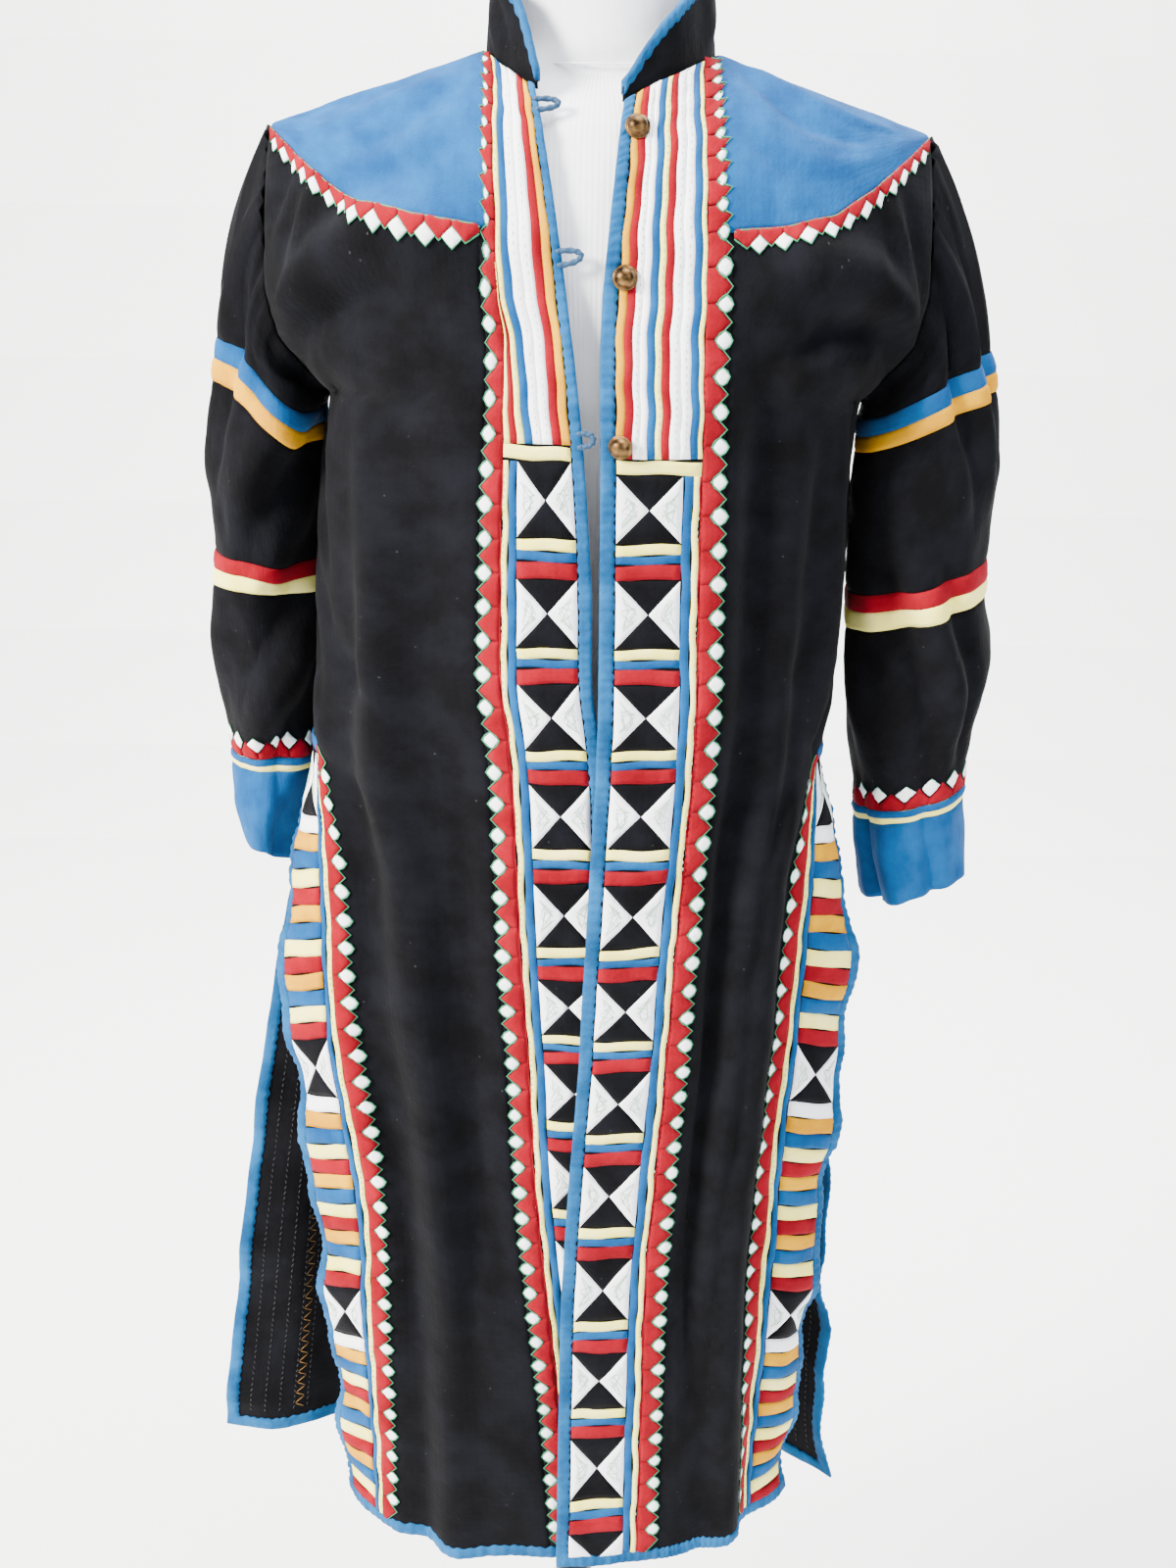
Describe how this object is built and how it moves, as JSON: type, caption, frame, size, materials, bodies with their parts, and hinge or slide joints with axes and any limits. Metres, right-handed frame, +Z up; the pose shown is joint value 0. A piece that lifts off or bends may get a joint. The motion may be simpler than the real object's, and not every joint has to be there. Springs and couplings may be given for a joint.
{
  "type": "patchwork duster coat on a limbless dress form with a round stand",
  "caption": "Long open-front patchwork duster coat with side slits and a standing collar, draped on a limbless dress form on a pole and round base.",
  "frame": {"origin": "centre of the whole piece's bounding box at the floor, on the pole's axis", "axes": "+Z up along the pole, the coat's front faces -Y, the wearer's right side is at -X"},
  "size_m": [0.5434, 0.39, 1.452],
  "materials": {
    "washed_black": "washed matte cotton",
    "mid_blue": "matte cotton",
    "red": "matte cotton",
    "gold": "matte cotton",
    "cream": "matte cotton",
    "patchwork": "pieced matte cotton",
    "antique_brass": "aged satin",
    "jersey": "matte knit",
    "dark_steel": "satin"
  },
  "bodies": {
    "root": {"back_panel": "washed_black", "binding_back": "mid_blue", "binding_left": "mid_blue", "binding_right": "mid_blue", "button_1": "antique_brass", "button_2": "antique_brass", "button_3": "antique_brass", "collar": "washed_black", "collar_binding": "mid_blue", "cuff_left": "mid_blue", "cuff_right": "mid_blue", "cuff_stripe_left": "cream", "cuff_stripe_right": "cream", "cuff_teeth_left": "red", "cuff_teeth_right": "red", "form_base": "dark_steel", "form_pole": "dark_steel", "form_torso": "jersey", "front_band_left": "patchwork", "front_band_right": "patchwork", "front_panel_left": "washed_black", "front_panel_right": "washed_black", "front_teeth_left": "red", "front_teeth_right": "red", "loop_1": "mid_blue", "loop_2": "mid_blue", "loop_3": "mid_blue", "side_band_back_left": "patchwork", "side_band_back_right": "patchwork", "side_band_front_left": "patchwork", "side_band_front_right": "patchwork", "side_teeth_front_left": "red", "side_teeth_front_right": "red", "sleeve_blue_strip_left": "mid_blue", "sleeve_blue_strip_right": "mid_blue", "sleeve_cream_strip_left": "cream", "sleeve_cream_strip_right": "cream", "sleeve_gold_strip_left": "gold", "sleeve_gold_strip_right": "gold", "sleeve_lower_left": "washed_black", "sleeve_lower_right": "washed_black", "sleeve_middle_left": "washed_black", "sleeve_middle_right": "washed_black", "sleeve_red_strip_left": "red", "sleeve_red_strip_right": "red", "sleeve_upper_left": "washed_black", "sleeve_upper_right": "washed_black", "yoke_back": "mid_blue", "yoke_left": "mid_blue", "yoke_right": "mid_blue", "yoke_teeth_back_left": "red", "yoke_teeth_back_right": "red", "yoke_teeth_front_left": "red", "yoke_teeth_front_right": "red"}
  },
  "joints": []
}
